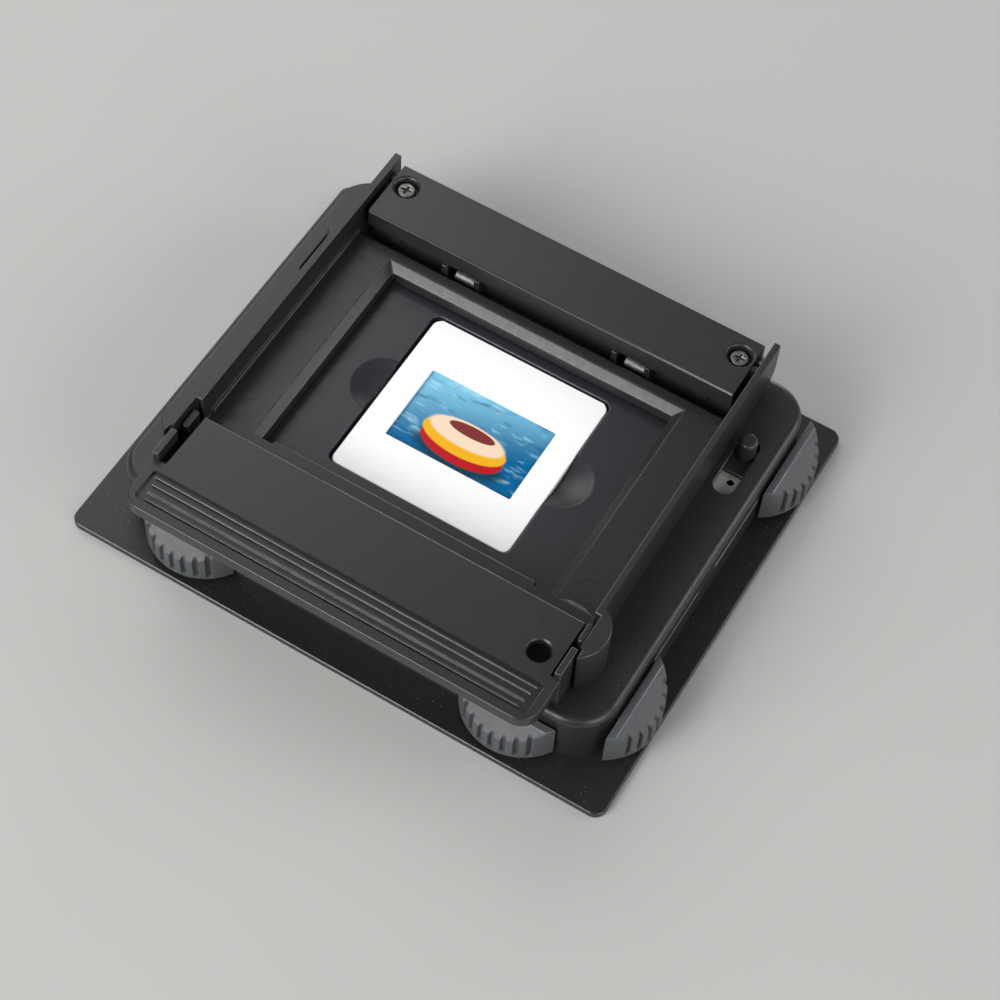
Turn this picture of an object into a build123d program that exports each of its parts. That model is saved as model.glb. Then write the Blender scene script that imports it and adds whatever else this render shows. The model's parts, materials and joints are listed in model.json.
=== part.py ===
"""Universal negative carrier: a flat casing on a base plate with a hinged
upper frame, four sliding masks worked by ribbed thumb slides, two film-edge
pegs and an insert that holds one mounted slide.

Millimetres.  +Z is up, +Y points to the hinge, +X to the right.  The origin
is where the optical axis meets the underside of the base plate.
"""
from build123d import *
import os

os.makedirs("parts", exist_ok=True)

# ---------------------------------------------------------------- dimensions
SIDES = {"left": -1, "right": 1}
MASKS = ("left", "right", "front", "back")
GAP = 0.2                     # gap between sheet and moulded pieces
FIT = 0.05                    # radial clearance of pins and screws

BASE_HALF_X = 75.0
BASE_FRONT, BASE_BACK = -65.0, 60.0
BASE_T = 2.0
BASE_R = 3.0

CASE_HALF_X = 67.5
CASE_FRONT, CASE_BACK = -56.2, 54.0
CASE_R = 10.5
SEAM_Z = 9.4                  # joint between the lower and the upper shell
CASE_TOP = 19.7
CASE_EDGE_R = 2.0
LOWER_INSET = 0.4             # the lower shell stands back from the upper one
WALL = 2.0
TOP_WALL = 1.5

GATE_X, GATE_Y = 40.5, 28.5   # half sizes of the light opening
GATE_RIM = 1.5
REST_Y = 20.0                 # cross ribs in the lower shell that carry the masks
DECK_X, DECK_FRONT, DECK_BACK = 51.5, -46.0, 35.0

SHEET = 0.8                   # thickness of the mask blades
MASK_Y_Z = 13.3               # underside of the front and back masks
MASK_X_Z = MASK_Y_Z + SHEET + 0.1
DECK_Z = MASK_X_Z + SHEET + 0.15
TAB_W = 12.0                  # tabs that leave the casing through its walls
TAB_OVER, TAB_UNDER = 0.3, 0.9         # room above and below a tab in its slot
SLOT_END = 0.6                # room at the ends of the slots
MASK_X_TRAVEL = 23.0
MASK_FRONT_TRAVEL = 22.0
MASK_BACK_TRAVEL = 20.0

KNOB_R = 15.0
KNOB_CHORD = 7.7              # from the rib circle's centre to the flat back
KNOB_BAND = 1.8               # flat strip along the back
KNOB_Z0, KNOB_RIM_Z, KNOB_Z1 = 4.0, 10.8, 15.2
KNOB_FLANGE = 0.9             # plain strip under the grooves
TAB_IN = 1.7                  # depth of the tab in the knob, under its flat band
KNOB_GROOVES, KNOB_PITCH = 7, 12.0
KNOB_GAP = 0.8                # from the casing wall to the knob's flat back
RIVET_R, RIVET_X, RIVET_IN = 0.45, 4.0, 0.9
KNOB_X = 44.6                 # front knobs, left and right of the middle
KNOB_FRONT_Y, KNOB_BACK_Y = -40.0, 38.0
BRIDGE_FRONT, BRIDGE_BACK = 6.0, 2.5      # wall left standing between the right-hand slots

INSERT_X, INSERT_Y = 45.5, 33.0
INSERT_Z0, INSERT_TOP = 16.1, 19.3
INSERT_WINDOW = 22.0          # half size of the window under the slide
POCKET_LEFT, POCKET_RIGHT = -25.9, 25.3       # the pocket for the slide
POCKET_FRONT, POCKET_BACK = -25.3, 25.5
SLIDE = 25.0                  # half size of the slide mount
SLIDE_T, SLIDE_R = 2.0, 2.2
SLIDE_TOP = 18.7
FILM_X, FILM_Y = 17.65, 11.3  # half sizes of the mount's window
HOLLOW_X, HOLLOW_R, HOLLOW_DEPTH = 25.3, 8.5, 2.0   # dished finger hollows

ARM_IN, ARM_OUT = 53.7, 55.4
ARM_TOP, ARM_Z0 = 34.5, 20.0
ARM_FRONT, ARM_BACK = -53.5, 53.5
TRAY_Z0, TRAY_TOP = 19.9, 24.9
TRAY_BACK = 33.2
OPEN_X, OPEN_FRONT, OPEN_BACK = 40.2, -31.0, 28.0
BEVEL_OUT, BEVEL_DROP = 2.2, 1.8
SILL_X, SILL_REACH, SILL_RISE = 36.2, 1.2, 0.5    # raised sill in front of the window
LEDGE_W, LEDGE_H = 0.7, 1.6                   # ledge along the foot of each arm
EJECTOR_R, EJECTOR_W, EJECTOR_D = 3.15, 0.2, 0.05
EJECTOR_X, EJECTOR_Y = 47.6, -26.8
NOTCH_BACK, NOTCH_FRONT = -35.3, -45.5
EAR_BACK, EAR_FRONT, EAR_BULGE = -32.7, -48.3, 4.6
EAR_SLOT = 0.7                # slot between the bulge's front end and the arm
HOOK_X, HOOK_HALF_X = 54.2, 1.0           # the latch hooks
HOOK_FRONT, HOOK_BACK = -42.3, -37.7
HOOK_TOP = 32.2
HOOK_FOOT_X, HOOK_FOOT_Y, HOOK_FOOT_T = 2.4, 1.1, 1.2

PLATE_TOP, PLATE_T = 32.0, 2.0
PLATE_LEFT, PLATE_RIGHT, PLATE_BACK = -51.4, 52.8, -37.4
GRIP_FRONT, GRIP_T = -67.0, 3.6
GRIP_R = 5.0
PANEL_DEPTH = 0.8
PANEL_X, PANEL_BACK, PANEL_FRONT = 53.0, -56.0, -64.6
RIBS, RIB_PITCH, RIB_HALF = 4, 2.05, 0.3
HOLE_X, HOLE_Y, HOLE_R, HOLE_EDGE = 47.5, -49.3, 2.9, 0.4
STUD_X, STUD_Y, STUD_R = 30.0, -49.5, 1.5

HINGE_Y, HINGE_Z = 49.7, 29.5
HINGE_PIN_R = 1.5
PIN_IN, PIN_OUT = 50.3, 54.9  # ends of the hinge pins
BAR_HALF_X = 52.0
BAR_FRONT, BAR_BACK = 35.1, 52.3
BAR_Z0, BAR_TOP, BAR_EDGE = 26.7, 32.7, 0.35
BAR_SCREW_X, BAR_SCREW_Y = 47.9, 46.65
BAR_HEAD_R, BAR_HEAD_TOP = 2.35, 31.6
BAR_BORE_R, BAR_BORE_Z, BAR_BORE_EDGE = 3.0, 29.9, 0.85
BLOCK_FRONT = 37.0
POST_W, POST_REACH = 1.5, 2.4             # posts beside the windows
WINDOW_X, WINDOW_HALF = 24.5, 3.9         # windows under the bar's front edge
STOP_Y, STOP_Z, STOP_R = 36.4, 23.5, 1.5
STOP_SEAT, STOP_SHORT = 1.05, 2.1         # depth in the right post, gap to the left post
LUG_X, LUG_HALF, LUG_REACH = 44.1, 1.2, 1.6

PEG_R, PEG_ROUND = 2.4, 1.1
PEG_SPOTS = {"left": (-59.6, 31.6), "right": (59.75, 31.0)}
PEG_TOPS = {"left": 23.7, "right": 24.9}
PEG_SLOT_FRONT, PEG_SLOT_BACK, PEG_SLOT_W = 17.0, 35.0, 5.4
PEG_TRAVEL = 11.3
SLIDER_FRONTS = {"left": 16.4, "right": 24.8}
SLIDER_BACK = 35.0
STRIP_Z0, STRIP_T = 15.9, 0.8
STRIP_HALF_X, STRIP_BACK = 3.9, 36.9
STRIP_FOOT_X, STRIP_FOOT_T, STRIP_LAP = 4.4, 1.6, 0.5     # feet under the wing for the strip
DETENT_X, DETENT_Y, DETENT_R = 0.4, 22.9, 0.95           # front detent hole, X from the peg

CASE_SCREWS = [(-59.0, -49.6), (59.0, -49.6), (-60.0, 47.6), (60.0, 47.6)]
SCREW_R = 1.25
BOSS_R = 2.8


# ------------------------------------------------------------------- helpers
def box(x0, x1, y0, y1, z0, z1):
    """Axis-aligned block between two corners."""
    return Pos((x0 + x1) / 2, (y0 + y1) / 2, (z0 + z1) / 2) * Box(x1 - x0, y1 - y0, z1 - z0)


def slab(x0, x1, y0, y1, z0, z1, r):
    """Block whose four upright edges are rounded."""
    outline = Pos((x0 + x1) / 2, (y0 + y1) / 2, z0) * RectangleRounded(x1 - x0, y1 - y0, r)
    return extrude(outline, z1 - z0)


def rod(x, y, z0, z1, r):
    """Upright cylinder."""
    return Pos(x, y, (z0 + z1) / 2) * Cylinder(r, z1 - z0)


def rod_x(y, z, x0, x1, r):
    """Cylinder along X."""
    return Pos((x0 + x1) / 2, y, z) * Rot(0, 90, 0) * Cylinder(r, x1 - x0)


def cone(x, y, z0, z1, r0, r1):
    """Upright frustum."""
    return Pos(x, y, (z0 + z1) / 2) * Cone(r0, r1, z1 - z0)


def cross(x, y, z0, z1, arm_length, half_width):
    """Cross recess of a screw head."""
    return (box(x - half_width, x + half_width, y - arm_length, y + arm_length, z0, z1)
            + box(x - arm_length, x + arm_length, y - half_width, y + half_width, z0, z1))


def flip(shape):
    """Mirror image on the other side of the middle plane."""
    return mirror(shape, Plane.YZ)


def save(shape, name):
    """Write one node."""
    export_step(shape, "parts/" + name + ".step")


# -------------------------------------------------------------------- casing
def casing_block(z0, z1, inset):
    """Outer block of the casing between two heights."""
    return slab(-CASE_HALF_X + inset, CASE_HALF_X - inset, CASE_FRONT + inset,
                CASE_BACK - inset, z0, z1, CASE_R - inset)


def gate(z0, z1, grow):
    """Rectangular light opening."""
    return slab(-GATE_X - grow, GATE_X + grow, -GATE_Y - grow, GATE_Y + grow, z0, z1, 1.0 + grow)


def base_plate():
    """Steel plate that slides into the enlarger or copying table."""
    plate = slab(-BASE_HALF_X, BASE_HALF_X, BASE_FRONT, BASE_BACK, 0, BASE_T, BASE_R)
    plate -= gate(-1, BASE_T + 1, 1.5)
    for x, y in CASE_SCREWS:
        plate -= rod(x, y, -1, BASE_T + 1, SCREW_R + FIT)
        plate -= cone(x, y, -0.01, 1.4, 2.7, SCREW_R + FIT)
    return plate


def lower_shell():
    """Tray-shaped lower half with the rim that carries the masks."""
    shell = casing_block(BASE_T, SEAM_Z, LOWER_INSET)
    shell -= casing_block(BASE_T + WALL, SEAM_Z + 1, WALL)
    shell += gate(BASE_T, MASK_Y_Z - GAP, GATE_RIM)
    for x, y in CASE_SCREWS:
        shell += rod(x, y, BASE_T + 1, SEAM_Z, BOSS_R)
    shell -= gate(0, SEAM_Z + 5, 0)
    for x, y in CASE_SCREWS:
        shell -= rod(x, y, 0, SEAM_Z + 1, SCREW_R + FIT)
    for side in (-1, 1):
        x0, x1 = sorted((side * 44.5, side * 62.0))
        for y in (-REST_Y, REST_Y):
            shell += box(x0, x1, y - 0.8, y + 0.8, BASE_T + WALL - 0.5, MASK_Y_Z - GAP)
    return shell


def tab_slots():
    """Long slots in the front and right walls that the mask tabs run in."""
    half = TAB_W / 2 + SLOT_END
    wall = WALL + 1
    slots = []
    z0, z1 = MASK_X_Z - TAB_UNDER, MASK_X_Z + SHEET + TAB_OVER
    for side in (-1, 1):
        ends = sorted((side * (KNOB_X + half), side * (KNOB_X - MASK_X_TRAVEL - half)))
        slots.append(box(ends[0], ends[1], CASE_FRONT - 1, CASE_FRONT + wall, z0, z1))
    z0, z1 = MASK_Y_Z - TAB_UNDER, MASK_Y_Z + SHEET + TAB_OVER
    for y0, y1 in ((KNOB_FRONT_Y - half, -BRIDGE_FRONT), (BRIDGE_BACK, KNOB_BACK_Y + half)):
        slots.append(box(CASE_HALF_X - wall, CASE_HALF_X + 1, y0, y1, z0, z1))
    return slots


def peg_slot(x):
    """Oblong slot in the wing for a film peg."""
    length = PEG_SLOT_BACK - PEG_SLOT_FRONT
    outline = Pos(x, (PEG_SLOT_FRONT + PEG_SLOT_BACK) / 2, CASE_TOP - TOP_WALL - 1) * (
        Rot(0, 0, 90) * SlotOverall(length, PEG_SLOT_W))
    return extrude(outline, TOP_WALL + 2)


def strip_front(side):
    """Front end of the strip that a peg's slider runs on."""
    return SLIDER_FRONTS[side] - PEG_TRAVEL - STRIP_LAP - GAP


def upper_shell():
    """Upper half with the wings, the deck under the insert and the slots."""
    shell = casing_block(SEAM_Z, CASE_TOP, 0)
    top_edges = shell.edges().group_by(Axis.Z)[-1]
    shell = fillet(top_edges, CASE_EDGE_R)
    hollow = casing_block(SEAM_Z - 1, CASE_TOP - TOP_WALL, WALL)
    deck = box(-DECK_X, DECK_X, DECK_FRONT, DECK_BACK, DECK_Z, CASE_TOP)
    shell = shell - (hollow - deck)
    shell -= slab(-INSERT_X - GAP, INSERT_X + GAP, -INSERT_Y - GAP, INSERT_Y + GAP,
                  INSERT_Z0, CASE_TOP + 1, 2.0)
    shell -= gate(DECK_Z - 1, CASE_TOP + 1, 0)
    for x, y in CASE_SCREWS:
        shell += rod(x, y, SEAM_Z, CASE_TOP - 1, BOSS_R)
        shell -= rod(x, y, SEAM_Z - 1, SEAM_Z + 6, SCREW_R + FIT)
    for name, side in SIDES.items():
        x = side * BAR_SCREW_X
        shell += rod(x, BAR_SCREW_Y, SEAM_Z + 6.2, CASE_TOP - 1, 3.0)
        shell -= rod(x, BAR_SCREW_Y, SEAM_Z + 7, CASE_TOP + 1, SCREW_R + FIT)
        x, front = PEG_SPOTS[name][0], strip_front(name)
        shell -= peg_slot(x)
        for y in (front + STRIP_LAP - STRIP_FOOT_T, STRIP_BACK - STRIP_LAP):
            shell += box(x - STRIP_FOOT_X, x + STRIP_FOOT_X, y, y + STRIP_FOOT_T, STRIP_Z0, CASE_TOP - 1)
        shell -= box(x - STRIP_HALF_X - 0.1, x + STRIP_HALF_X + 0.1, front - 0.1, STRIP_BACK + 0.1,
                     STRIP_Z0, STRIP_Z0 + STRIP_T)
        shell -= box(side * HOOK_X - HOOK_HALF_X - FIT, side * HOOK_X + HOOK_HALF_X + FIT,
                     HOOK_FRONT - FIT, HOOK_BACK + FIT, CASE_TOP - TOP_WALL - 1, CASE_TOP + 1)
    for slot in tab_slots():
        shell -= slot
    return shell


def case_screws():
    """Four countersunk screws from below."""
    screws = []
    for x, y in CASE_SCREWS:
        head = cone(x, y, 0.05, 1.35, 2.55, SCREW_R)
        screw = head + rod(x, y, 0.05, SEAM_Z + 5.5, SCREW_R)
        screw -= cross(x, y, 0, 0.9, 1.4, 0.3)
        screws.append(screw)
    return Compound(children=screws)


# --------------------------------------------------------------------- hinge
def hinge_block():
    """Spacer under the hinge bar with the two windows for the stop pins."""
    block = box(-BAR_HALF_X, BAR_HALF_X, BLOCK_FRONT, BAR_BACK - 0.3, CASE_TOP, BAR_Z0)
    for side in (-1, 1):
        block -= rod(side * BAR_SCREW_X, BAR_SCREW_Y, CASE_TOP - 1, BAR_Z0 + 1, SCREW_R + FIT)
        middle = side * WINDOW_X
        for x in (middle - WINDOW_HALF - POST_W, middle + WINDOW_HALF):
            block += box(x, x + POST_W, BLOCK_FRONT - POST_REACH, BLOCK_FRONT + 0.5, CASE_TOP, BAR_Z0)
        block -= box(middle - WINDOW_HALF, middle + WINDOW_HALF, BLOCK_FRONT - 1, BLOCK_FRONT + 2.5,
                     CASE_TOP + 0.8, BAR_Z0 - 0.6)
        block -= rod_x(STOP_Y, STOP_Z, middle, middle + WINDOW_HALF + STOP_SEAT + FIT, STOP_R + FIT)
        block += box(side * LUG_X - LUG_HALF, side * LUG_X + LUG_HALF, BLOCK_FRONT - LUG_REACH,
                     BLOCK_FRONT + 0.5, TRAY_TOP, BAR_Z0)
    return block


def stop_pins():
    """Two short steel pins in the windows, each fixed in the post on its right."""
    return Compound(children=[rod_x(STOP_Y, STOP_Z, x - WINDOW_HALF + STOP_SHORT,
                                    x + WINDOW_HALF + STOP_SEAT, STOP_R)
                              for x in (-WINDOW_X, WINDOW_X)])


def hinge_bar():
    """Flat bar across the back that carries both hinge pins."""
    bar = box(-BAR_HALF_X, BAR_HALF_X, BAR_FRONT, BAR_BACK, BAR_Z0, BAR_TOP)
    front_top = bar.edges().filter_by(Axis.X).sort_by(lambda e: e.center().Z - e.center().Y)[-1]
    bar = chamfer(front_top, BAR_EDGE)
    for side in (-1, 1):
        x = side * BAR_SCREW_X
        bar -= rod(x, BAR_SCREW_Y, BAR_Z0 - 1, BAR_TOP + 1, SCREW_R + FIT)
        bar -= rod(x, BAR_SCREW_Y, BAR_BORE_Z, BAR_TOP + 1, BAR_BORE_R)
        bar -= cone(x, BAR_SCREW_Y, BAR_TOP - BAR_BORE_EDGE, BAR_TOP + 0.01, BAR_BORE_R,
                    BAR_BORE_R + BAR_BORE_EDGE)
        x0, x1 = sorted((side * (PIN_IN - 0.2), side * (BAR_HALF_X + 1)))
        bar -= rod_x(HINGE_Y, HINGE_Z, x0, x1, HINGE_PIN_R + FIT)
    return bar


def bar_screws():
    """Two cross-recessed screws that hold the bar."""
    screws = []
    for side in (-1, 1):
        x, y = side * BAR_SCREW_X, BAR_SCREW_Y
        head = rod(x, y, BAR_BORE_Z, BAR_HEAD_TOP, BAR_HEAD_R)
        head = fillet(head.edges().group_by(Axis.Z)[-1], 0.5)
        screw = head + rod(x, y, SEAM_Z + 7.2, BAR_BORE_Z + 0.5, SCREW_R)
        screw -= cross(x, y, BAR_HEAD_TOP - 1.2, BAR_HEAD_TOP + 1, 1.4, 0.375)
        screws.append(screw)
    return Compound(children=screws)


def hinge_pin(side):
    """Stub pin through an arm into the end of the bar."""
    x0, x1 = sorted((side * PIN_IN, side * PIN_OUT))
    return rod_x(HINGE_Y, HINGE_Z, x0, x1, HINGE_PIN_R)


# -------------------------------------------------------------- hinged frame
def arm():
    """Right-hand side arm with its finger bulge."""
    side = box(ARM_IN, ARM_OUT, ARM_FRONT, ARM_BACK, ARM_Z0, ARM_TOP)
    back_low = side.edges().filter_by(Axis.X).sort_by(lambda e: e.center().Y - e.center().Z)[-1]
    side = fillet(back_low, 6.0)
    length = EAR_BACK - EAR_FRONT
    radius = (length ** 2 / 4 + EAR_BULGE ** 2) / (2 * EAR_BULGE)
    centre_y = (EAR_BACK + EAR_FRONT) / 2
    bulge = rod(ARM_OUT + EAR_BULGE - radius, centre_y, ARM_Z0, ARM_TOP, radius)
    bulge &= box(ARM_OUT - 0.2, ARM_OUT + 10, EAR_FRONT + 0.7, EAR_BACK - 0.7, ARM_Z0, ARM_TOP)
    bulge = fillet(bulge.edges().group_by(Axis.Z)[-1].filter_by(GeomType.CIRCLE), 0.6)
    side += bulge
    side -= box(ARM_OUT, ARM_OUT + EAR_SLOT, EAR_FRONT - 1, NOTCH_FRONT + 0.6, ARM_Z0 - 1, ARM_TOP + 1)
    side -= box(ARM_IN - 0.1, ARM_OUT, NOTCH_FRONT, NOTCH_BACK, ARM_Z0 - 1, ARM_TOP + 1)
    return side


def tray():
    """Floor of the frame with the bevelled window."""
    floor = box(-ARM_IN - 0.3, ARM_IN + 0.3, ARM_FRONT + 1.0, TRAY_BACK, TRAY_Z0, TRAY_TOP)
    floor -= box(-OPEN_X, OPEN_X, OPEN_FRONT, OPEN_BACK, TRAY_Z0 - 1, TRAY_TOP + 1)
    low = Plane.XY.offset(TRAY_TOP - BEVEL_DROP)
    high = Plane.XY.offset(TRAY_TOP + 0.01)
    middle = (OPEN_FRONT + OPEN_BACK) / 2
    depth = OPEN_BACK - OPEN_FRONT
    bevel = loft([low * Pos(0, middle) * Rectangle(2 * OPEN_X, depth),
                  high * Pos(0, middle) * Rectangle(2 * OPEN_X + 2 * BEVEL_OUT, depth + 2 * BEVEL_OUT)])
    floor -= bevel
    floor += box(-ARM_IN, ARM_IN, ARM_FRONT + 2, OPEN_FRONT - 1, TRAY_TOP - 1, TRAY_TOP + SILL_RISE)
    floor += box(-SILL_X, SILL_X, OPEN_FRONT - 3, OPEN_FRONT - 1 + SILL_REACH, TRAY_Z0 + 1,
                 TRAY_TOP + SILL_RISE)
    for side in (-1, 1):
        x0, x1 = sorted((side * (ARM_IN - LEDGE_W), side * (ARM_IN + 0.3)))
        floor += box(x0, x1, OPEN_FRONT - 1, TRAY_BACK, TRAY_TOP - 1, TRAY_TOP + LEDGE_H)
        x = side * EJECTOR_X
        mark = rod(x, EJECTOR_Y, TRAY_TOP - EJECTOR_D, TRAY_TOP + 0.1, EJECTOR_R + EJECTOR_W / 2)
        mark -= rod(x, EJECTOR_Y, TRAY_TOP - 1, TRAY_TOP + 1, EJECTOR_R - EJECTOR_W / 2)
        floor -= mark
    return floor


def frame():
    """Hinged upper frame: arms, tray and front wall in one moulding."""
    body = tray()
    body += arm()
    body += flip(arm())
    body += box(-ARM_IN - 0.3, ARM_IN + 0.3, ARM_FRONT, ARM_FRONT + 1.6, ARM_Z0, PLATE_TOP - PLATE_T)
    for x in (-STUD_X, STUD_X):
        body += rod(x, STUD_Y, TRAY_TOP - 1, PLATE_TOP - PLATE_T, 2 * STUD_R)
        body -= rod(x, STUD_Y, TRAY_TOP + 1, PLATE_TOP, STUD_R + FIT)
    for side in (-1, 1):
        x0, x1 = sorted((side * (ARM_IN - 1.8), side * ARM_OUT))
        body -= box(x0, x1, NOTCH_FRONT, NOTCH_BACK, ARM_Z0 - 1, ARM_TOP + 1)
        x0, x1 = sorted((side * (ARM_IN - 1), side * (PIN_OUT + FIT)))
        body -= rod_x(HINGE_Y, HINGE_Z, x0, x1, HINGE_PIN_R + FIT)
    return body


def rib_panel():
    """Recess with the ribs that is sunk in the top of the grip."""
    floor = PLATE_TOP - PANEL_DEPTH
    recess = slab(-PANEL_X, PANEL_X, PANEL_FRONT, PANEL_BACK, floor, PLATE_TOP + 1, 1.0)
    for i in range(RIBS):
        y = PANEL_BACK - 1.5 - RIB_PITCH * i
        end = PANEL_X - 1.2 - 0.4 * i
        recess -= box(-end, end, y - RIB_HALF, y + RIB_HALF, floor - 1, PLATE_TOP - 0.15)
    return recess


def handle():
    """Front grip with the flat cover plate behind it."""
    grip = slab(-ARM_OUT, ARM_OUT, GRIP_FRONT, ARM_FRONT + 4, PLATE_TOP - GRIP_T, PLATE_TOP, GRIP_R)
    grip -= box(-ARM_OUT - 1, ARM_OUT + 1, ARM_FRONT, ARM_FRONT + 10, 0, PLATE_TOP + 1)
    front_top = grip.edges().group_by(Axis.Z)[-1].filter_by(lambda e: e.center().Y < ARM_FRONT - 0.1)
    grip = fillet(front_top, 0.5)
    grip -= rib_panel()
    plate = box(PLATE_LEFT, PLATE_RIGHT, ARM_FRONT - 0.5, PLATE_BACK, PLATE_TOP - PLATE_T, PLATE_TOP)
    grip += plate
    grip -= rod(HOLE_X, HOLE_Y, 0, PLATE_TOP + 1, HOLE_R)
    grip -= cone(HOLE_X, HOLE_Y, PLATE_TOP - HOLE_EDGE, PLATE_TOP + 0.01, HOLE_R, HOLE_R + HOLE_EDGE)
    for x in (-STUD_X, STUD_X):
        grip += rod(x, STUD_Y, TRAY_TOP + 2, PLATE_TOP - 1, STUD_R)
    return grip


def latch_hook(side):
    """Springy catch that stands in the notch of an arm."""
    x = side * HOOK_X
    under = CASE_TOP - TOP_WALL
    hook = box(x - HOOK_HALF_X, x + HOOK_HALF_X, HOOK_FRONT, HOOK_BACK, under, HOOK_TOP - 2.0)
    head = slab(x - HOOK_HALF_X, x + HOOK_HALF_X, HOOK_FRONT - 0.2, HOOK_BACK + 0.8,
                HOOK_TOP - 3.2, HOOK_TOP, 0.9)
    head = fillet(head.edges().group_by(Axis.Z)[-1], 0.6)
    foot = box(x - HOOK_FOOT_X, x + HOOK_FOOT_X, HOOK_FRONT - HOOK_FOOT_Y, HOOK_BACK + HOOK_FOOT_Y,
               under - HOOK_FOOT_T, under)
    return hook + head + foot


# --------------------------------------------------------------------- masks
def knob_blank():
    """Thumb slide lying with its flat back along X and its ribs towards -Y."""
    profile = make_face(Polyline(
        (KNOB_CHORD, KNOB_Z0), (KNOB_R + 1, KNOB_Z0), (KNOB_R + 1, KNOB_RIM_Z - 0.8),
        (KNOB_R, KNOB_RIM_Z), (KNOB_CHORD + KNOB_BAND, KNOB_Z1), (KNOB_CHORD, KNOB_Z1),
        close=True))
    wedge = extrude(Plane.YZ * profile, KNOB_R, both=True)
    wedge = mirror(wedge, Plane.XZ)
    knob = wedge & rod(0, 0, 0, KNOB_Z1 + 1, KNOB_R)
    for i in range(KNOB_GROOVES):
        angle = -90 + KNOB_PITCH * (i - (KNOB_GROOVES - 1) / 2)
        groove = box(KNOB_R - 0.9, KNOB_R + 1, -0.45, 0.45, KNOB_Z0 + KNOB_FLANGE, KNOB_Z1 + 1)
        knob -= Rot(0, 0, angle) * groove
    return knob


def tab_z(side):
    """Underside of a mask and of its tab."""
    return MASK_X_Z if side in ("left", "right") else MASK_Y_Z


def tab_socket(side):
    """Space in a knob for the end of its mask's tab, in the knob's own place."""
    return box(-TAB_W / 2 - FIT, TAB_W / 2 + FIT, -KNOB_CHORD - TAB_IN - FIT, -KNOB_CHORD + 1,
               tab_z(side) - FIT, tab_z(side) + SHEET + FIT)


def knob_rivet_holes(r):
    """Two upright rivets through knob and tab, blind under the knob's flat top."""
    return [rod(x, -KNOB_CHORD - RIVET_IN, KNOB_Z0, MASK_X_Z + SHEET, r)
            for x in (-RIVET_X, RIVET_X)]


def place(shape, side):
    """Move a knob-shaped piece from its own place to one of the four knobs."""
    front = CASE_FRONT - KNOB_GAP + KNOB_CHORD
    right = CASE_HALF_X + KNOB_GAP - KNOB_CHORD
    spots = {
        "left": Pos(-KNOB_X, front, 0),
        "right": Pos(KNOB_X, front, 0),
        "front": Pos(right, KNOB_FRONT_Y, 0) * Rot(0, 0, 90),
        "back": Pos(right, KNOB_BACK_Y, 0) * Rot(0, 0, 90),
    }
    return spots[side] * shape


def knob(side):
    """Ribbed thumb slide of one mask."""
    shape = knob_blank() - tab_socket(side)
    for hole in knob_rivet_holes(RIVET_R + FIT):
        shape -= hole
    return place(shape, side)


def rivets(side):
    """The two rivets of one knob."""
    return Compound(children=[place(rivet, side) for rivet in knob_rivet_holes(RIVET_R)])


def blade_x():
    """Left mask with the tab that leaves through the front wall."""
    tab0, tab1 = -KNOB_X - TAB_W / 2, -KNOB_X + TAB_W / 2
    end = CASE_FRONT - KNOB_GAP - TAB_IN
    blade = box(-65.2, -GATE_X - 0.2, -31.0, 31.0, MASK_X_Z, MASK_X_Z + SHEET)
    return blade + box(tab0, tab1, end, -30.0, MASK_X_Z, MASK_X_Z + SHEET)


def blade_y(edge, outer, knob_y):
    """Front or back mask with the tab that leaves through the right-hand wall."""
    y0, y1 = sorted((edge, outer))
    tab0, tab1 = knob_y - TAB_W / 2, knob_y + TAB_W / 2
    end = CASE_HALF_X + KNOB_GAP + TAB_IN
    blade = box(-42.8, 42.8, y0, y1, MASK_Y_Z, MASK_Y_Z + SHEET)
    return blade + box(42.0, end, tab0, tab1, MASK_Y_Z, MASK_Y_Z + SHEET)


def mask(side):
    """One of the four mask blades, drilled for its rivets."""
    if side == "left":
        blade = blade_x()
    elif side == "right":
        blade = flip(blade_x())
    elif side == "front":
        blade = blade_y(-GATE_Y - 0.3, -53.4, KNOB_FRONT_Y)
    else:
        blade = blade_y(GATE_Y + 0.3, 51.0, KNOB_BACK_Y)
    for hole in knob_rivet_holes(RIVET_R + FIT):
        blade -= place(hole, side)
    return blade


# ---------------------------------------------------------------- film pegs
def film_peg(side):
    """Round-topped peg that guides one edge of a film strip."""
    x, y = PEG_SPOTS[side]
    peg = rod(x, y, CASE_TOP - TOP_WALL - GAP, PEG_TOPS[side], PEG_R)
    return fillet(peg.edges().group_by(Axis.Z)[-1], PEG_ROUND)


def peg_slider(side):
    """Plate under the wing that the peg stands on."""
    x = PEG_SPOTS[side][0]
    return box(x - STRIP_HALF_X, x + STRIP_HALF_X, SLIDER_FRONTS[side], SLIDER_BACK,
               STRIP_Z0 + STRIP_T + 0.1, CASE_TOP - TOP_WALL - GAP)


def peg_strip(side):
    """Pale strip under the slot with a detent hole at each end of the travel."""
    x = PEG_SPOTS[side][0]
    strip = box(x - STRIP_HALF_X, x + STRIP_HALF_X, strip_front(side), STRIP_BACK,
                STRIP_Z0 + FIT, STRIP_Z0 + STRIP_T - FIT)
    for y in (DETENT_Y, DETENT_Y + PEG_TRAVEL):
        strip -= rod(x + DETENT_X, y, STRIP_Z0 - 1, STRIP_Z0 + 2, DETENT_R)
    return strip


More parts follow.
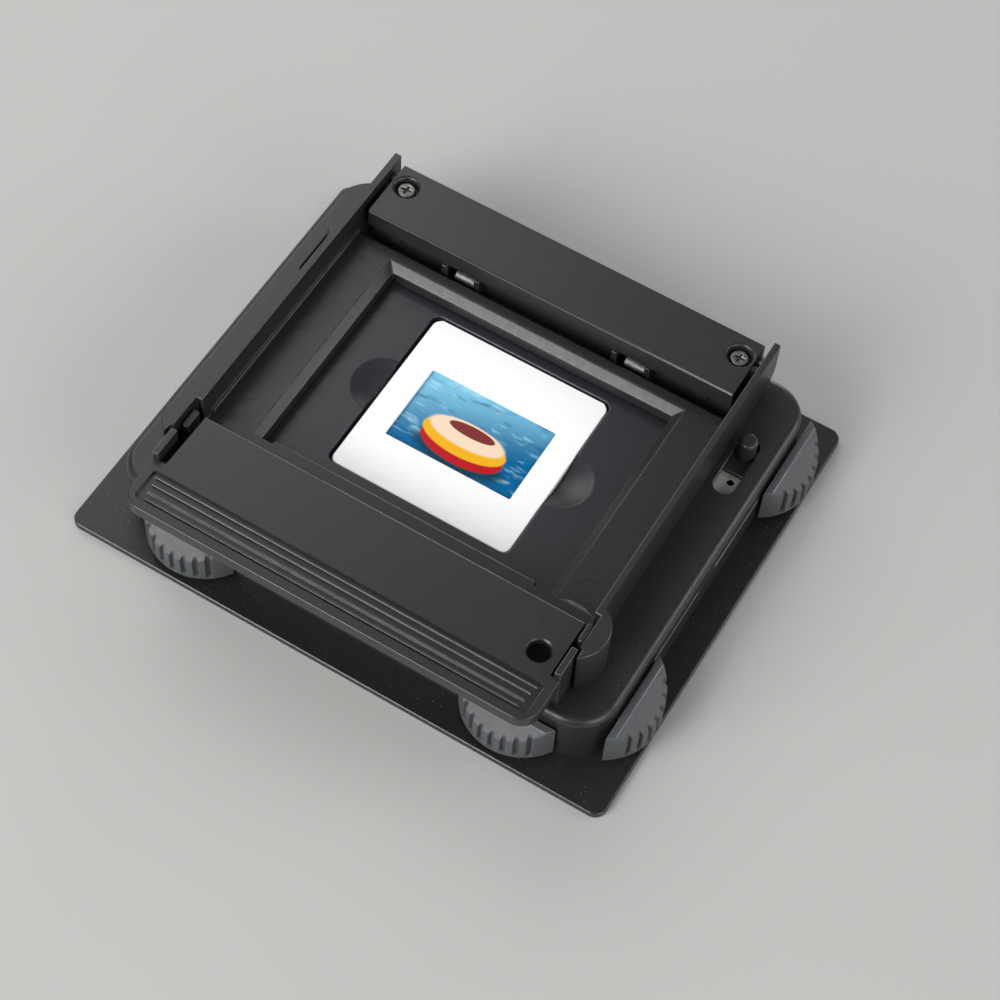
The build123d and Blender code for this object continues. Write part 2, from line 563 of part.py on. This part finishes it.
# -------------------------------------------------------------------- inserts
def slide_insert():
    """Drop-in plate with the pocket and finger hollows for one slide."""
    plate = slab(-INSERT_X, INSERT_X, -INSERT_Y, INSERT_Y, INSERT_Z0, INSERT_TOP, 1.8)
    plate -= slab(POCKET_LEFT, POCKET_RIGHT, POCKET_FRONT, POCKET_BACK, SLIDE_TOP - SLIDE_T,
                  INSERT_TOP + 1, SLIDE_R)
    radius = (HOLLOW_R ** 2 + HOLLOW_DEPTH ** 2) / (2 * HOLLOW_DEPTH)
    for side in (-1, 1):
        plate -= Pos(side * HOLLOW_X, 0, INSERT_TOP - HOLLOW_DEPTH + radius) * Sphere(radius)
    return plate - slab(-INSERT_WINDOW, INSERT_WINDOW, -INSERT_WINDOW, INSERT_WINDOW,
                        INSERT_Z0 - 1, INSERT_TOP, 1.0)


def slide_half(z0, z1):
    """One half of the plastic slide mount."""
    half = slab(-SLIDE, SLIDE, -SLIDE, SLIDE, z0, z1, SLIDE_R)
    return half - slab(-FILM_X, FILM_X, -FILM_Y, FILM_Y, z0 - 1, z1 + 1, 0.6)


def slide_parts():
    """Both mount halves and the piece of film between them."""
    z0 = SLIDE_TOP - SLIDE_T
    seam = z0 + SLIDE_T / 2
    lower = slide_half(z0, seam)
    upper = slide_half(seam, z0 + SLIDE_T)
    pocket = box(-19.0, 19.0, -12.6, 12.6, seam - 0.1, seam + 0.1)
    film = box(-18.9, 18.9, -12.5, 12.5, seam - 0.08, seam + 0.08)
    return {"slide_mount_lower": lower - pocket, "slide_mount_upper": upper - pocket,
            "transparency": film}


# ---------------------------------------------------------------------- build

nodes = {
    "base_plate": base_plate(),
    "lower_shell": lower_shell(),
    "upper_shell": upper_shell(),
    "case_screws": case_screws(),
    "hinge_block": hinge_block(),
    "stop_pins": stop_pins(),
    "hinge_bar": hinge_bar(),
    "bar_screws": bar_screws(),
    "slide_insert": slide_insert(),
    "upper_frame": frame(),
    "front_handle": handle(),
}
nodes.update(slide_parts())
for name, sign in SIDES.items():
    nodes["hinge_pin_" + name] = hinge_pin(sign)
    nodes["latch_hook_" + name] = latch_hook(sign)
    nodes["film_peg_" + name] = film_peg(name)
    nodes["peg_slider_" + name] = peg_slider(name)
    nodes["peg_strip_" + name] = peg_strip(name)
for name in MASKS:
    nodes["mask_" + name] = mask(name)
    nodes["knob_" + name] = knob(name)
    nodes["knob_rivets_" + name] = rivets(name)

for name, shape in nodes.items():
    save(shape, name)
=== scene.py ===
"""Looks of the negative carrier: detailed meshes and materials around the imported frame."""
import json
import math

import bmesh
import bpy
from mathutils import Matrix, Vector


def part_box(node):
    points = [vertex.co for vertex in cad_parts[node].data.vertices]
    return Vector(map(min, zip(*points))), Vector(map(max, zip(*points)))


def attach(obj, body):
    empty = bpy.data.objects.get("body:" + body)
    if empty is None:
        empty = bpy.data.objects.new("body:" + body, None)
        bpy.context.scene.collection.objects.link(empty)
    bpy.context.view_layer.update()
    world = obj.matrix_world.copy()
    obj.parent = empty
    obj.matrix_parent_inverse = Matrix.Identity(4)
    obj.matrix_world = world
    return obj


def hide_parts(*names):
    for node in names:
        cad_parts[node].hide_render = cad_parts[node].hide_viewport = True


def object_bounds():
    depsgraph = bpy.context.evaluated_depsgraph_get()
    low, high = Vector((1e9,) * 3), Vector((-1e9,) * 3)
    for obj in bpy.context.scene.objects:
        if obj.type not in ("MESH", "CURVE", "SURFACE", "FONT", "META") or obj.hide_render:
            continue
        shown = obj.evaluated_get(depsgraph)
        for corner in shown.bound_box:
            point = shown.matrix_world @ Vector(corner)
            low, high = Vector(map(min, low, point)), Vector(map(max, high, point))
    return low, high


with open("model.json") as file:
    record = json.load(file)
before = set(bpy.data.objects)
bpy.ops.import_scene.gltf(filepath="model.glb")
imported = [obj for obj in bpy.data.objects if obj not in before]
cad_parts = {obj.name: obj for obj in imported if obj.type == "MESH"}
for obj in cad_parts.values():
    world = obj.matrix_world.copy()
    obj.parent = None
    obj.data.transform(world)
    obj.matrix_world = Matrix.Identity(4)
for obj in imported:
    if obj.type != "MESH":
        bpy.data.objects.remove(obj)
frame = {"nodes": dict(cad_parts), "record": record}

cad_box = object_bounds()

MM = 0.001
MERGE = 0.002 * MM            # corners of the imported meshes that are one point
FLAT = math.radians(0.5)      # faces this close in direction are one flat face
SHARP = math.radians(35)      # faces that meet at more than this form a sharp edge
UPRIGHT = 0.9                 # part of a normal along an axis that counts as facing it
EDGE_ROOM = 2.2               # clear face beside a rounded edge, in widths of the rounding
SIDES = ("left", "right")
MASKS = ("left", "right", "front", "back")

# Thumb slides
FLUTES = 7
FLUTE_PITCH = math.radians(12)
FLUTE_HALF = math.radians(3.0)
FLUTE_DEPTH = 1.0 * MM
FLUTE_SIDE = 0.6              # share of a flute's half width that is its side
FLUTE_STEPS = 6               # points on each half of a flute
FLUTE_FOOT = 0.25 * MM        # slope at the foot of a flute
RIB_SIDE = 0.35               # where a rib has its points, in pitches from a flute's middle
KNOB_BAND = 1.8 * MM          # flat strip along the back of a thumb slide
KNOB_RIM_DROP = 4.4 * MM      # how far the top falls from that strip to the rim
KNOB_FLANGE = 0.9 * MM        # plain strip under the flutes
KNOB_EDGE = 0.42 * MM         # rounding between the rim and the top
KNOB_FOOT = 0.35 * MM         # rounding under the flange
KNOB_CORNER = math.radians(1.2)   # how far before the flat back the round rim ends
ARC_MIDDLE = 2 / 7            # how far a rounding's middle lies from both sides, in its size
KNOB_CREASE = 0.18 * MM       # rounding of the long straight edges on top
LONG_EDGE = 0.6               # an edge is long from this share of a thumb slide's width
LONG_TURN = 0.5               # radians between the faces beside such an edge, at the least

# Camera
CAMERA_PLACE = Vector((0.1540, -0.2844, 0.5140))
CAMERA_RIGHT = Vector((0.8570, 0.5136, 0.0428))
CAMERA_UP = Vector((-0.4574, 0.7196, 0.5224))
CAMERA_LENS = 87.19
SENSOR = 36.0

# Studio: each light's name, place, size and power; all of them face the origin
LIGHTS = (
    ("key", (-0.45, -1.0, 0.7), 0.9, 15.5),
    ("glint", (-0.35, -1.1, 0.72), 0.4, 3.6),
    ("back_left", (-0.55, 0.37, 0.6), 0.6, 2.5),
    ("right_front", (1.0, -0.35, 0.5), 0.7, 5.5),
    ("back_low", (-0.3, 1.2, 0.25), 0.6, 4.0),
    ("right_rim", (0.9, 0.6, 0.45), 0.6, 3.6),
)
ROOM_LIGHT = (0.95, 0.97, 1.0, 1.0)
ROOM_STRENGTH = 0.22
FLOOR_HALF = 2.0


# ------------------------------------------------------------------ materials
NOISE_LOW, NOISE_HIGH = 0.3, 0.7    # nearly all of a noise pattern lies between these
DUST = (0.34, 0.33, 0.31, 1.0)
BLACK = (0.016, 0.016, 0.0165)


class Nodes:
    """One material, with short calls that add and link its nodes."""

    def __init__(self, name):
        self.material = bpy.data.materials.new(name)
        self.material.use_nodes = True
        self.tree = self.material.node_tree
        self.shader = self.tree.nodes["Principled BSDF"]
        self.place = self.add("ShaderNodeTexCoord").outputs["Object"]
        self.normal = self.add("ShaderNodeNewGeometry").outputs["Normal"]

    def add(self, kind, **settings):
        """A new node with some of its settings."""
        node = self.tree.nodes.new(kind)
        for key, value in settings.items():
            setattr(node, key, value)
        return node

    def feed(self, socket, value):
        """Links a socket to an output, or sets it to a constant."""
        if isinstance(value, bpy.types.NodeSocket):
            self.tree.links.new(value, socket)
        else:
            socket.default_value = value

    def maths(self, operation, a, b=0.0):
        """One maths node."""
        node = self.add("ShaderNodeMath", operation=operation)
        self.feed(node.inputs[0], a)
        self.feed(node.inputs[1], b)
        return node.outputs[0]

    def spread(self, value, low, high, to_low=0.0, to_high=1.0):
        """Smooth step from low to high, scaled to another range."""
        node = self.add("ShaderNodeMapRange", interpolation_type="SMOOTHSTEP")
        for socket, item in zip(node.inputs, (value, low, high, to_low, to_high)):
            self.feed(socket, item)
        return node.outputs[0]

    def mix(self, factor, a, b):
        """Blend of two colours."""
        node = self.add("ShaderNodeMix", data_type="RGBA")
        self.feed(node.inputs["Factor"], factor)
        self.feed(node.inputs[6], a)
        self.feed(node.inputs[7], b)
        return node.outputs[2]

    def stretched(self, scale):
        """Object coordinates scaled by a different amount along each axis."""
        node = self.add("ShaderNodeMapping")
        self.feed(node.inputs["Vector"], self.place)
        node.inputs["Scale"].default_value = scale
        return node.outputs[0]

    def noise(self, scale, detail=3.0, place=None):
        """Fractal noise with its mean near a half."""
        node = self.add("ShaderNodeTexNoise")
        self.feed(node.inputs["Vector"], place or self.place)
        node.inputs["Scale"].default_value = scale
        node.inputs["Detail"].default_value = detail
        return node.outputs["Fac"]

    def specks(self, scale, size):
        """Scattered round specks; size is a share of the cell they lie in."""
        node = self.add("ShaderNodeTexVoronoi")
        self.feed(node.inputs["Vector"], self.place)
        node.inputs["Scale"].default_value = scale
        parts = self.add("ShaderNodeSeparateColor")
        self.feed(parts.inputs[0], node.outputs["Color"])
        radius = self.spread(parts.outputs[0], 0.2, 1.0, 0.0, size)
        return self.maths("LESS_THAN", node.outputs["Distance"], radius)

    def facing_up(self):
        """One where the surface faces up and dust lies, less on walls."""
        parts = self.add("ShaderNodeSeparateXYZ")
        self.feed(parts.inputs[0], self.normal)
        return self.spread(parts.outputs["Z"], -0.1, 0.9, 0.35, 1.0)

    def colour(self, value):
        """Colour of the surface."""
        self.feed(self.shader.inputs["Base Color"], value)

    def rough(self, pattern, low, high):
        """Roughness between two values, after a noise pattern."""
        value = self.spread(pattern, NOISE_LOW, NOISE_HIGH, low, high)
        self.feed(self.shader.inputs["Roughness"], value)

    def bump(self, height, distance):
        """Bump of a height between 0 and 1 over a distance in metres."""
        node = self.add("ShaderNodeBump")
        node.inputs["Distance"].default_value = distance
        self.feed(node.inputs["Height"], height)
        self.feed(self.shader.inputs["Normal"], node.outputs[0])


def scaled(colour, by):
    """A colour made lighter or darker, with full alpha."""
    return tuple(min(1.0, c * by) for c in colour) + (1.0,)


def moulded(name, colour, roughness, dust=0.5, grain=0.015, gloss=0.5):
    """Moulded plastic: fine spark-eroded grain, faint clouding and dust specks."""
    n = Nodes(name)
    clouds = n.mix(n.noise(75.0, 4.0), scaled(colour, 0.94), scaled(colour, 1.07))
    lying = n.maths("MAXIMUM", n.specks(1250.0, 0.13), n.specks(2300.0, 0.12))
    lying = n.maths("MULTIPLY", lying, n.facing_up())
    zones = n.spread(n.noise(45.0, 3.0), 0.42, 0.64, 0.06 * dust, dust)
    lying = n.maths("MULTIPLY", lying, zones)
    n.colour(n.mix(lying, clouds, DUST))
    n.rough(n.noise(700.0, 5.0), roughness - 0.03, roughness + 0.03)
    n.shader.inputs["Specular IOR Level"].default_value = gloss
    n.bump(n.noise(2600.0, 2.0), grain * MM)
    return n.material


def worn_edge_highlight(name, colour, roughness):
    """Rubbed, shinier skin on rounded edges, painted lighter all along as a painted highlight, in
    patches like wear.
    """
    n = Nodes(name)
    patches = n.spread(n.noise(240.0, 4.0), 0.42, 0.66)
    # Edge colour 2.2 to 3.2 times the surface's: a painted highlight, with patches like rubbed wear
    n.colour(n.mix(patches, scaled(colour, 2.2), scaled(colour, 3.2)))
    n.rough(n.noise(500.0), roughness - 0.14, roughness - 0.06)
    n.bump(n.noise(1800.0, 2.0), 0.008 * MM)
    return n.material


def pair(name, colour, roughness, **more):
    """Surface and edge materials of one plastic; the edge material carries a painted highlight."""
    return [moulded(name, colour, roughness, **more), worn_edge_highlight(name + "_edge", colour, roughness)]


def steel(name, colour, roughness):
    """Drawn or turned steel with fine scratches and darker stains."""
    n = Nodes(name)
    stains = n.spread(n.noise(900.0, 4.0), 0.4, 0.75)
    n.colour(n.mix(stains, scaled(colour, 1.0), scaled(colour, 0.55)))
    lines = n.noise(900.0, 3.0, n.stretched((0.3, 4.0, 4.0)))
    n.rough(lines, roughness, roughness + 0.18)
    n.shader.inputs["Metallic"].default_value = 1.0
    n.bump(lines, 0.006 * MM)
    return n.material


def card_white(name):
    """Smooth white mount plastic with a faint mottle."""
    n = Nodes(name)
    n.colour(n.mix(n.noise(180.0, 4.0), (0.94, 0.945, 0.95, 1.0), (0.985, 0.985, 0.985, 1.0)))
    n.rough(n.noise(700.0), 0.38, 0.5)
    n.bump(n.noise(1500.0), 0.006 * MM)
    return n.material


def picture():
    """The developed picture: open water under haze, with a plain inflatable ring."""
    n = Nodes("picture")
    low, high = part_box("transparency")
    half = (high - low) / 2
    parts = n.add("ShaderNodeSeparateXYZ")
    n.feed(parts.inputs[0], n.place)
    across = n.maths("DIVIDE", parts.outputs["X"], half.x)
    up = n.maths("DIVIDE", parts.outputs["Y"], half.y)
    haze = n.spread(n.maths("SUBTRACT", up, n.maths("MULTIPLY", across, 0.45)), -0.5, 1.25)
    water = n.mix(haze, (0.0, 0.12, 0.3, 1.0), (0.2, 0.52, 0.7, 1.0))
    swell = n.noise(420.0, 5.0, n.stretched((0.45, 1.6, 1.0)))
    crests = n.spread(swell, 0.52, 0.74, 0.0, 0.6)
    water = n.mix(crests, water, (0.42, 0.72, 0.84, 1.0))
    troughs = n.spread(n.noise(260.0, 4.0, n.stretched((0.5, 1.8, 1.0))), 0.55, 0.75, 0.0, 0.6)
    water = n.mix(troughs, water, (0.004, 0.09, 0.2, 1.0))

    def oval(x, y, wide, tall, soft=0.06):
        """One inside an ellipse given in shares of the picture's half sizes."""
        dx = n.maths("DIVIDE", n.maths("SUBTRACT", across, x), wide)
        dy = n.maths("DIVIDE", n.maths("SUBTRACT", up, y), tall)
        far = n.maths("ADD", n.maths("MULTIPLY", dx, dx), n.maths("MULTIPLY", dy, dy))
        return n.spread(far, 1.0 - soft, 1.0 + soft, 1.0, 0.0)

    shade = n.mix(oval(0.02, -0.56, 0.66, 0.34, 0.4), water, (0.003, 0.05, 0.09, 1.0))
    tube = n.mix(oval(0.0, -0.36, 0.6, 0.4), shade, (0.48, 0.008, 0.015, 1.0))
    tube = n.mix(oval(-0.02, -0.2, 0.61, 0.37), tube, (0.86, 0.44, 0.012, 1.0))
    tube = n.mix(oval(-0.03, -0.06, 0.55, 0.29, 0.15), tube, (0.88, 0.68, 0.5, 1.0))
    hollow = n.mix(oval(0.0, 0.06, 0.34, 0.13), tube, (0.2, 0.03, 0.03, 1.0))
    n.colour(hollow)
    n.rough(n.noise(900.0), 0.16, 0.3)
    n.shader.inputs["Specular IOR Level"].default_value = 0.12
    n.bump(n.noise(300.0, 2.0), 0.004 * MM)
    return n.material


# Each plastic pairs a surface material with an edge material that is painted lighter as a painted
# highlight
LOOKS = {
    "base_plate": pair("base_paint", (0.011, 0.011, 0.0115), 0.4, dust=0.75, grain=0.02),
    "casing": pair("casing_plastic", BLACK, 0.36, dust=0.55),
    "frame": pair("frame_plastic", BLACK, 0.36, dust=0.16),
    "insert": pair("insert_plastic", (0.017, 0.017, 0.0215), 0.36, dust=0.25),
    "masks": pair("mask_black", (0.012, 0.012, 0.012), 0.5, dust=0.1),
    "knobs": pair("knob_rubber", (0.068, 0.072, 0.077), 0.52, dust=0.6, grain=0.04, gloss=0.4),
    "pegs": pair("peg_plastic", (0.02, 0.02, 0.02), 0.36, dust=0.1),
    "strip": pair("strip_plastic", (0.55, 0.54, 0.5), 0.45, dust=0.0),
    "slide_mount": [card_white("mount_white"), card_white("mount_white_edge")],
    "film": [picture(), picture()],
    # The edge steels are lighter than the head and pin steels: a painted highlight on the rounded
    # edges
    "screws": [steel("screw_steel", (0.23, 0.226, 0.215), 0.36),
               steel("screw_edge_highlight", (0.5, 0.49, 0.47), 0.28)],
    "steel": [steel("pin_steel", (0.2, 0.205, 0.21), 0.5),
              steel("pin_edge_highlight", (0.24, 0.245, 0.25), 0.5)],
}
SLOTS = {part["node"]: part["material_slot"] for part in frame["record"]["subparts"]}
BODIES = {node: body
          for body, nodes in frame["record"]["behaviour"]["bodies"].items() for node in nodes}


# --------------------------------------------------------------------- meshes
def clean_copy(node):
    """A CAD node's shape with its corners joined and each flat face in one piece."""
    bm = bmesh.new()
    bm.from_mesh(frame["nodes"][node].data)
    bmesh.ops.remove_doubles(bm, verts=bm.verts, dist=MERGE)
    bmesh.ops.dissolve_limit(bm, angle_limit=FLAT, verts=bm.verts, edges=bm.edges)
    for face in bm.faces:
        face.material_index = 0
    return bm


def room(edge):
    """How far the faces beside an edge run before the next corner."""
    start, end = (v.co for v in edge.verts)
    along = (end - start).normalized()
    widths = []
    for loop in edge.link_loops:
        for other in (loop.link_loop_prev.edge, loop.link_loop_next.edge):
            side = other.verts[1].co - other.verts[0].co
            across = (side - along * side.dot(along)).length
            if across > side.length / 2:
                widths.append(across)
    return min(widths, default=math.inf)


def back_edge(edge):
    """Whether an edge lies between a top face and a face towards the hinge."""
    normals = [face.normal for face in edge.link_faces]
    return any(n.z > UPRIGHT for n in normals) and any(n.y > UPRIGHT for n in normals)


def mark_edges(bm, width, back, shortest):
    """Weights the sharp edges that are to be rounded, and returns the width that weight 1 means."""
    weights = bm.edges.layers.float.new("bevel_weight_edge")
    widest = max(width, back)
    for edge in bm.edges:
        sharp = edge.is_manifold and edge.calc_face_angle(0.0) >= SHARP
        if not sharp or edge.calc_length() < shortest:
            continue
        sizes = (back, width) if back_edge(edge) else (width,)
        fitting = [size for size in sizes if room(edge) >= EDGE_ROOM * size]
        if fitting:
            edge[weights] = fitting[0] / widest
    return widest


def rounded(piece, width, segments):
    """Rounds a piece's weighted edges for good; the new faces take the edge material."""
    bevel = piece.modifiers.new("rounding", "BEVEL")
    bevel.limit_method = "WEIGHT"
    bevel.width = width
    bevel.segments = segments
    bevel.material = 1
    bevel.use_clamp_overlap = False
    bevel.loop_slide = False
    shape = piece.evaluated_get(bpy.context.evaluated_depsgraph_get())
    mesh = bpy.data.meshes.new_from_object(shape)
    mesh.name = piece.name
    piece.modifiers.clear()
    piece.data = mesh


def new_piece(bm, node):
    """An object with the looks of a CAD node."""
    mesh = bpy.data.meshes.new(node + "_detail")
    bm.normal_update()
    bm.to_mesh(mesh)
    bm.free()
    for material in LOOKS[SLOTS[node]]:
        mesh.materials.append(material)
    piece = bpy.data.objects.new(node + "_detail", mesh)
    bpy.context.scene.collection.objects.link(piece)
    return piece


def finish_piece(piece, node):
    """Shades a piece and lets it stand for its CAD node."""
    for polygon in piece.data.polygons:
        polygon.use_smooth = True
    piece.data.set_sharp_from_angle(angle=SHARP)
    even = piece.modifiers.new("even_shading", "WEIGHTED_NORMAL")
    even.keep_sharp = True
    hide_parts(node)
    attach(piece, BODIES[node])


def refined(node, width, segments=2, back=0.0, shortest=0.0):
    """A CAD node with its edges rounded by width, or by back along its back, where there is room.

    Sizes are in mm, and edges shorter than shortest stay sharp.
    """
    bm = clean_copy(node)
    widest = mark_edges(bm, width * MM, back * MM, shortest * MM)
    piece = new_piece(bm, node)
    rounded(piece, widest, segments)
    finish_piece(piece, node)


# --------------------------------------------------------------- thumb slides
def knob_outline(radius, chord, inset, depth, angles):
    """Half-moon outline with flutes; x runs along the flat back, y away from it."""
    end = math.sqrt((radius - inset) ** 2 - chord ** 2)
    points = [(-end, 0.0)]
    for angle in angles:
        r = radius - inset
        for k in range(FLUTES):
            off = abs(angle - FLUTE_PITCH * (k - (FLUTES - 1) / 2)) / FLUTE_HALF
            if off < 1:
                rise = min(1.0, (1 - off) / FLUTE_SIDE)
                r -= depth * rise * rise * (3 - 2 * rise)
        points.append((r * math.sin(angle), r * math.cos(angle) - chord))
    points.append((end, 0.0))
    return points


def knob_angles(radius, chord, inset):
    """Angles of the outline's points, in the flutes and beside them, and the crease's angle."""
    crease = math.acos((chord + KNOB_BAND) / (radius - inset))
    last = math.acos(chord / (radius - inset)) - KNOB_CORNER
    angles = {-crease, crease, -last, last}
    for k in range(FLUTES):
        middle = FLUTE_PITCH * (k - (FLUTES - 1) / 2)
        angles.update(middle + FLUTE_HALF * i / FLUTE_STEPS
                      for i in range(-FLUTE_STEPS, FLUTE_STEPS + 1))
        angles.update((middle + FLUTE_PITCH * RIB_SIDE, middle - FLUTE_PITCH * RIB_SIDE))
    wide = FLUTE_PITCH * FLUTES / 2
    angles.update((wide, -wide))
    return sorted(angles), crease


def knob_piece(side):
    """One ribbed thumb slide, placed by its CAD node's box."""
    node = "knob_" + side
    low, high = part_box(node)
    across = side in SIDES
    width = (high.x - low.x) if across else (high.y - low.y)
    depth = (high.y - low.y) if across else (high.x - low.x)
    radius = ((width / 2) ** 2 + depth ** 2) / (2 * depth)
    chord = radius - depth
    middle = (low + high) / 2
    angles, crease = knob_angles(radius, chord, KNOB_EDGE)

    def top(y):
        """Height of the top at a distance from the flat back."""
        return high.z - max(0.0, y - KNOB_BAND) * KNOB_RIM_DROP / (depth - KNOB_BAND)

    def placed(x, y, z):
        """A point of the outline at its place on the casing."""
        if across:
            return Vector((middle.x + x, high.y - y, z))
        return Vector((low.x + y, middle.y + x, z))

    flange = low.z + KNOB_FLANGE
    foot = KNOB_FOOT * ARC_MIDDLE
    edge = KNOB_EDGE * ARC_MIDDLE
    # Rings from the foot up: inset, depth of the flutes, height, or else depth under the top
    rings = (
        (KNOB_FOOT, 0.0, low.z, None),
        (foot, 0.0, low.z + foot, None),
        (0.0, 0.0, low.z + KNOB_FOOT, None),
        (0.0, 0.0, flange, None),
        (0.0, FLUTE_DEPTH, flange + FLUTE_FOOT, None),
        (0.0, FLUTE_DEPTH, None, KNOB_EDGE),
        (edge, FLUTE_DEPTH, None, edge),
        (KNOB_EDGE, FLUTE_DEPTH, None, 0.0),
    )
    bm = bmesh.new()
    levels = []
    for shrink, flute, z, under in rings:
        outline = knob_outline(radius, chord, shrink, flute, angles)
        levels.append([bm.verts.new(placed(x, y, top(y) - under if z is None else z))
                       for x, y in outline])
    for lower, upper in zip(levels, levels[1:]):
        for i in range(len(lower) - 1):
            bm.faces.new((lower[i], lower[i + 1], upper[i + 1], upper[i]))
    bm.faces.new(levels[0])
    bm.faces.new([ring[0] for ring in levels] + [ring[-1] for ring in reversed(levels)])
    first = angles.index(-crease) + 1
    last = angles.index(crease) + 1
    cap = levels[-1]
    bm.faces.new(cap[first:last + 1])
    bm.faces.new(cap[:first + 1] + cap[last:])
    bmesh.ops.recalc_face_normals(bm, faces=bm.faces)
    long_edges = [e for e in bm.edges if e.calc_length() > width * LONG_EDGE
                  and e.calc_face_angle(0.0) > LONG_TURN and e.verts[0].co.z > middle.z]
    bmesh.ops.bevel(bm, geom=long_edges, offset=KNOB_CREASE, offset_type="OFFSET", segments=2,
                    profile=0.5, affect="EDGES", clamp_overlap=True, material=1)
    finish_piece(new_piece(bm, node), node)


# ------------------------------------------------------------------ the pieces
refined("base_plate", 0.35)
refined("lower_shell", 0.3)
refined("upper_shell", 0.3)
refined("hinge_block", 0.18)
refined("hinge_bar", 0.3)
refined("upper_frame", 0.25, 3, back=0.45, shortest=0.8)
refined("front_handle", 0.22, 3, back=0.55, shortest=0.6)
refined("slide_insert", 0.25)
refined("slide_mount_lower", 0.2)
refined("slide_mount_upper", 0.35, 4)
refined("transparency", 0.02)
refined("bar_screws", 0.1)
refined("case_screws", 0.1)
refined("stop_pins", 0.3)
for name in SIDES:
    refined("latch_hook_" + name, 0.25)
    refined("hinge_pin_" + name, 0.2)
    refined("film_peg_" + name, 0.2)
    refined("peg_slider_" + name, 0.2)
    refined("peg_strip_" + name, 0.08)
for name in MASKS:
    knob_piece(name)
    refined("mask_" + name, 0.08)
    refined("knob_rivets_" + name, 0.1)


# ---------------------------------------------------------------------- stage
def floor():
    """Plain pale floor with a faint mottle."""
    bm = bmesh.new()
    bmesh.ops.create_grid(bm, x_segments=1, y_segments=1, size=FLOOR_HALF)
    mesh = bpy.data.meshes.new("floor")
    bm.to_mesh(mesh)
    bm.free()
    ground = bpy.data.objects.new("floor", mesh)
    ground.location.z = cad_box[0].z
    bpy.context.scene.collection.objects.link(ground)
    n = Nodes("floor_paint")
    n.colour(n.mix(n.noise(6.0), (0.42, 0.43, 0.41, 1.0), (0.44, 0.45, 0.43, 1.0)))
    n.shader.inputs["Roughness"].default_value = 0.6
    mesh.materials.append(n.material)


def softbox(name, place, size, power):
    """Square area light that faces the origin."""
    light = bpy.data.lights.new(name, "AREA")
    light.size = size
    light.energy = power
    lamp = bpy.data.objects.new(name, light)
    lamp.location = place
    lamp.rotation_euler = (-Vector(place)).to_track_quat("-Z", "Y").to_euler()
    bpy.context.scene.collection.objects.link(lamp)


def stage():
    """Floor, soft studio light and the camera."""
    floor()
    for name, place, size, power in LIGHTS:
        softbox(name, place, size, power)
    world = bpy.data.worlds.new("studio")
    world.use_nodes = True
    background = world.node_tree.nodes["Background"]
    background.inputs["Color"].default_value = ROOM_LIGHT
    background.inputs["Strength"].default_value = ROOM_STRENGTH
    bpy.context.scene.world = world
    bpy.context.scene.view_settings.view_transform = "Standard"
    lens = bpy.data.cameras.new("camera")
    lens.lens = CAMERA_LENS
    lens.sensor_width = SENSOR
    camera = bpy.data.objects.new("camera", lens)
    turn = Matrix((CAMERA_RIGHT, CAMERA_UP, CAMERA_RIGHT.cross(CAMERA_UP))).transposed()
    camera.matrix_world = Matrix.Translation(CAMERA_PLACE) @ turn.to_4x4()
    bpy.context.scene.collection.objects.link(camera)
    bpy.context.scene.camera = camera


stage()
